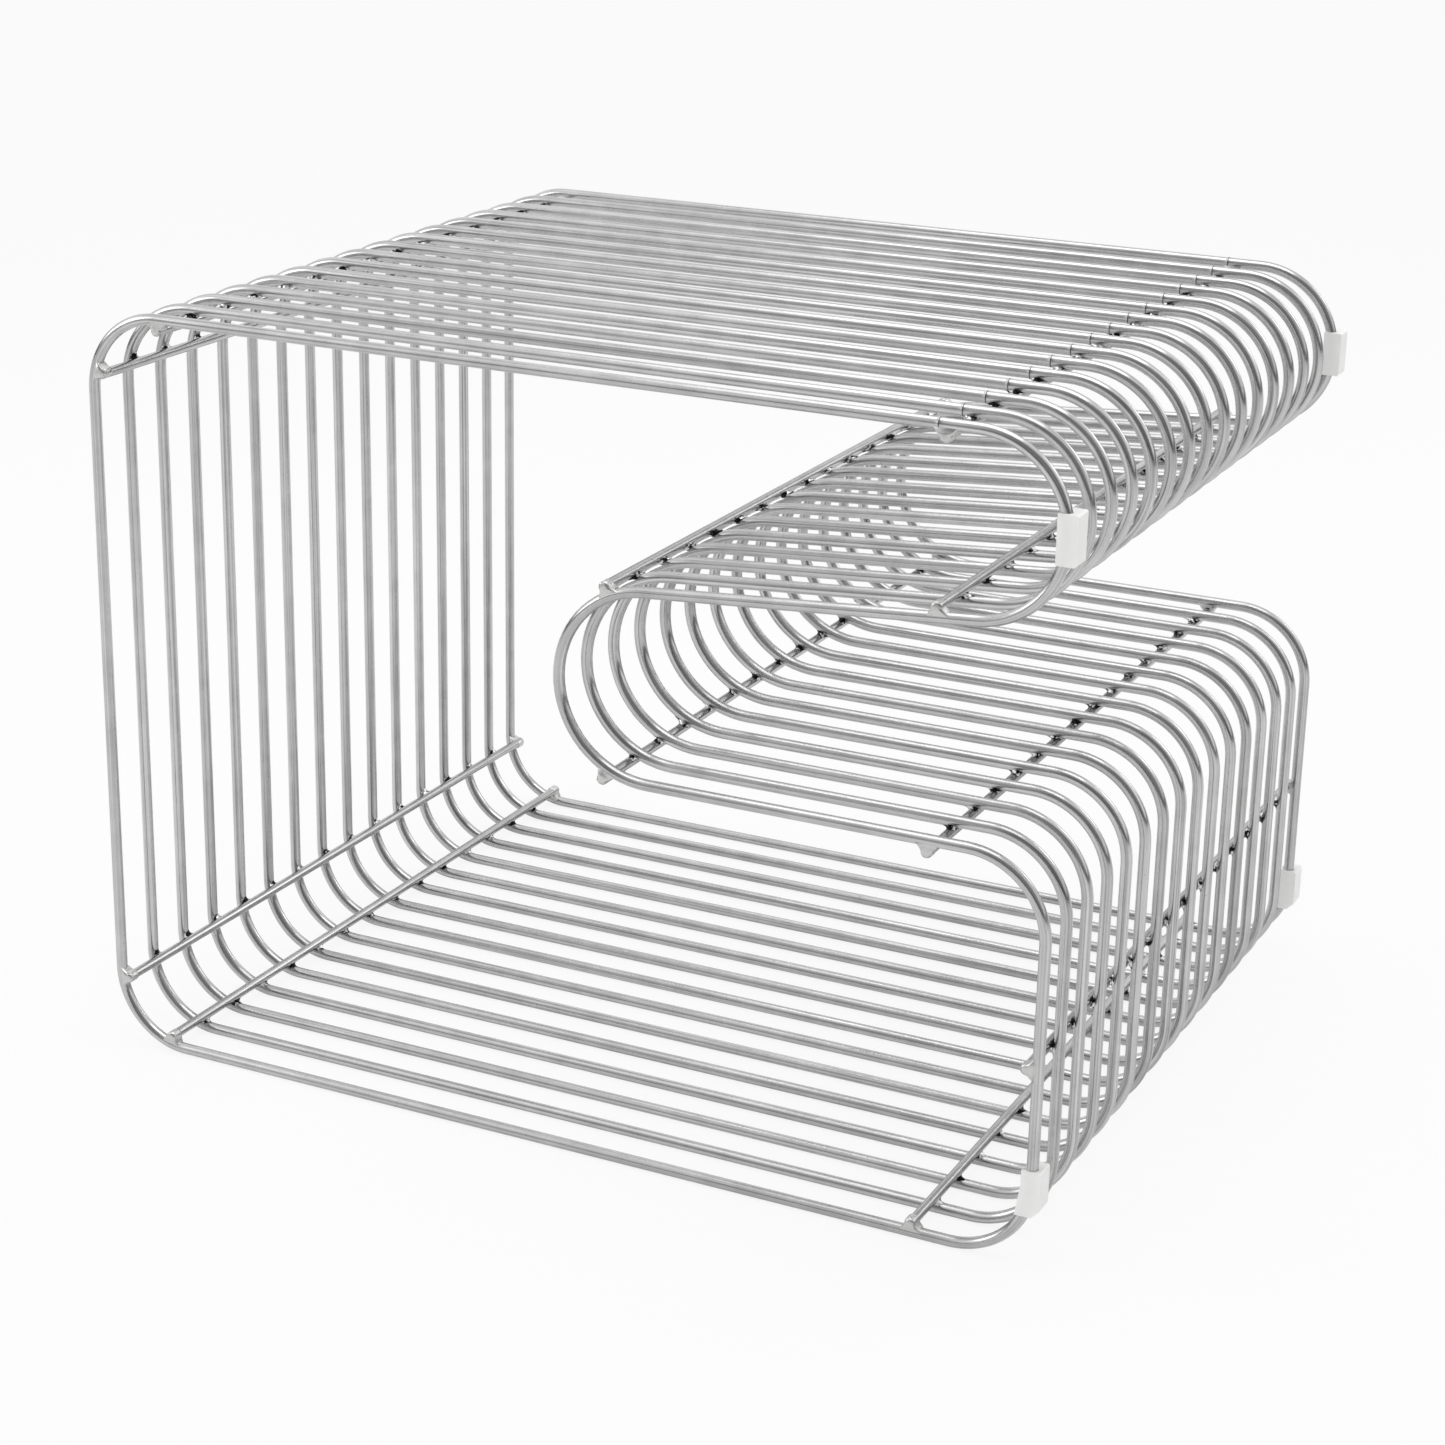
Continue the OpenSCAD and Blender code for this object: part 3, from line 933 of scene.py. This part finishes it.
world_out = next(n for n in sky_tree.nodes if n.type == "OUTPUT_WORLD")
glossy = blend_shaders(sky_tree, ray_kind(sky_tree, "Is Glossy Ray"), sky, room_glow)
both = blend_shaders(sky_tree, seen_directly(sky_tree), glossy, white_glow)
sky_tree.links.new(both.outputs[0], world_out.inputs[0])

# %% The lamps
LAMPS = (  # name, place, side of the square, power in watts
    ("overhead", (0.0, 0.0, 2.6), 1.8, 16),
    ("left_side", (-2.2, -1.4, 1.3), 1.2, 9),
    ("behind", (1.6, 2.2, 1.6), 1.0, 6),
)
middle = Vector([(a + b) / 2 for a, b in zip(cad_low, cad_high)])


def lamp(name, place, size, power):
    """A square soft lamp at a place, aimed at the middle of the table."""
    light = bpy.data.lights.new(name, "AREA")
    light.shape = "SQUARE"
    light.size = size
    light.energy = power
    holder = bpy.data.objects.new(name, light)
    holder.location = place
    holder.rotation_euler = (middle - Vector(place)).to_track_quat("-Z", "Y").to_euler()
    bpy.context.scene.collection.objects.link(holder)


for each in LAMPS:
    lamp(*each)
print(f"{len(LAMPS)} lamps aimed at", np.round(middle, 3))

# %% [markdown]
# The camera stands to the right of the front, a little above the table, and far enough off that
# the loops converge only gently towards the back.

# %% The camera
SENSOR = 36.0
FOCAL = 77.2
CAMERA_AT = (0.95668, -2.01455, 1.0177)
LOOK = (-0.4217, 0.8471, -0.3233)
RIGHT = (0.8929, 0.4501, 0.0147)
SHIFT = (0.0277, -0.0277)

camera_data = bpy.data.cameras.new("camera")
camera_data.sensor_width = SENSOR
camera_data.lens = FOCAL
camera_data.shift_x, camera_data.shift_y = SHIFT
camera = bpy.data.objects.new("camera", camera_data)
back = -Vector(LOOK).normalized()
right = Vector(RIGHT)
right = (right - back * right.dot(back)).normalized()
up = back.cross(right)
turned = Matrix((right, up, back)).transposed().to_4x4()
camera.matrix_world = Matrix.Translation(CAMERA_AT) @ turned
bpy.context.scene.collection.objects.link(camera)
bpy.context.scene.camera = camera
bpy.context.scene.view_settings.view_transform = "Standard"
print("camera at", CAMERA_AT)
